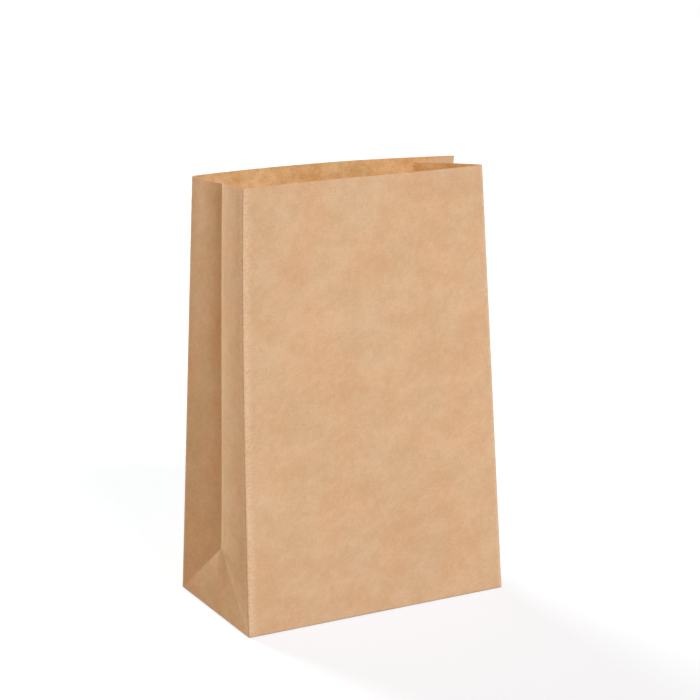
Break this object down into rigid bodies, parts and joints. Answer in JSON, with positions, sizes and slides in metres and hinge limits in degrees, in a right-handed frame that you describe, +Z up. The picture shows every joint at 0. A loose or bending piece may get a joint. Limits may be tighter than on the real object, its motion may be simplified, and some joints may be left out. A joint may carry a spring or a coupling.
{
  "type": "kraft paper bag",
  "caption": "Open brown kraft paper bag with side gussets, a straight-cut mouth, a glued back seam and a flat folded block bottom.",
  "frame": {"origin": "centre of the foot, on the surface that the bag stands on", "axes": "+Z up through the mouth, -Y out of the front panel, X along the bag's width"},
  "size_m": [0.1586, 0.0809, 0.2194],
  "materials": {
    "kraft_paper": "matt unbleached kraft paper, cloudy and finely fibrous"
  },
  "bodies": {
    "root": {"paper_bag": "kraft_paper"}
  },
  "joints": []
}
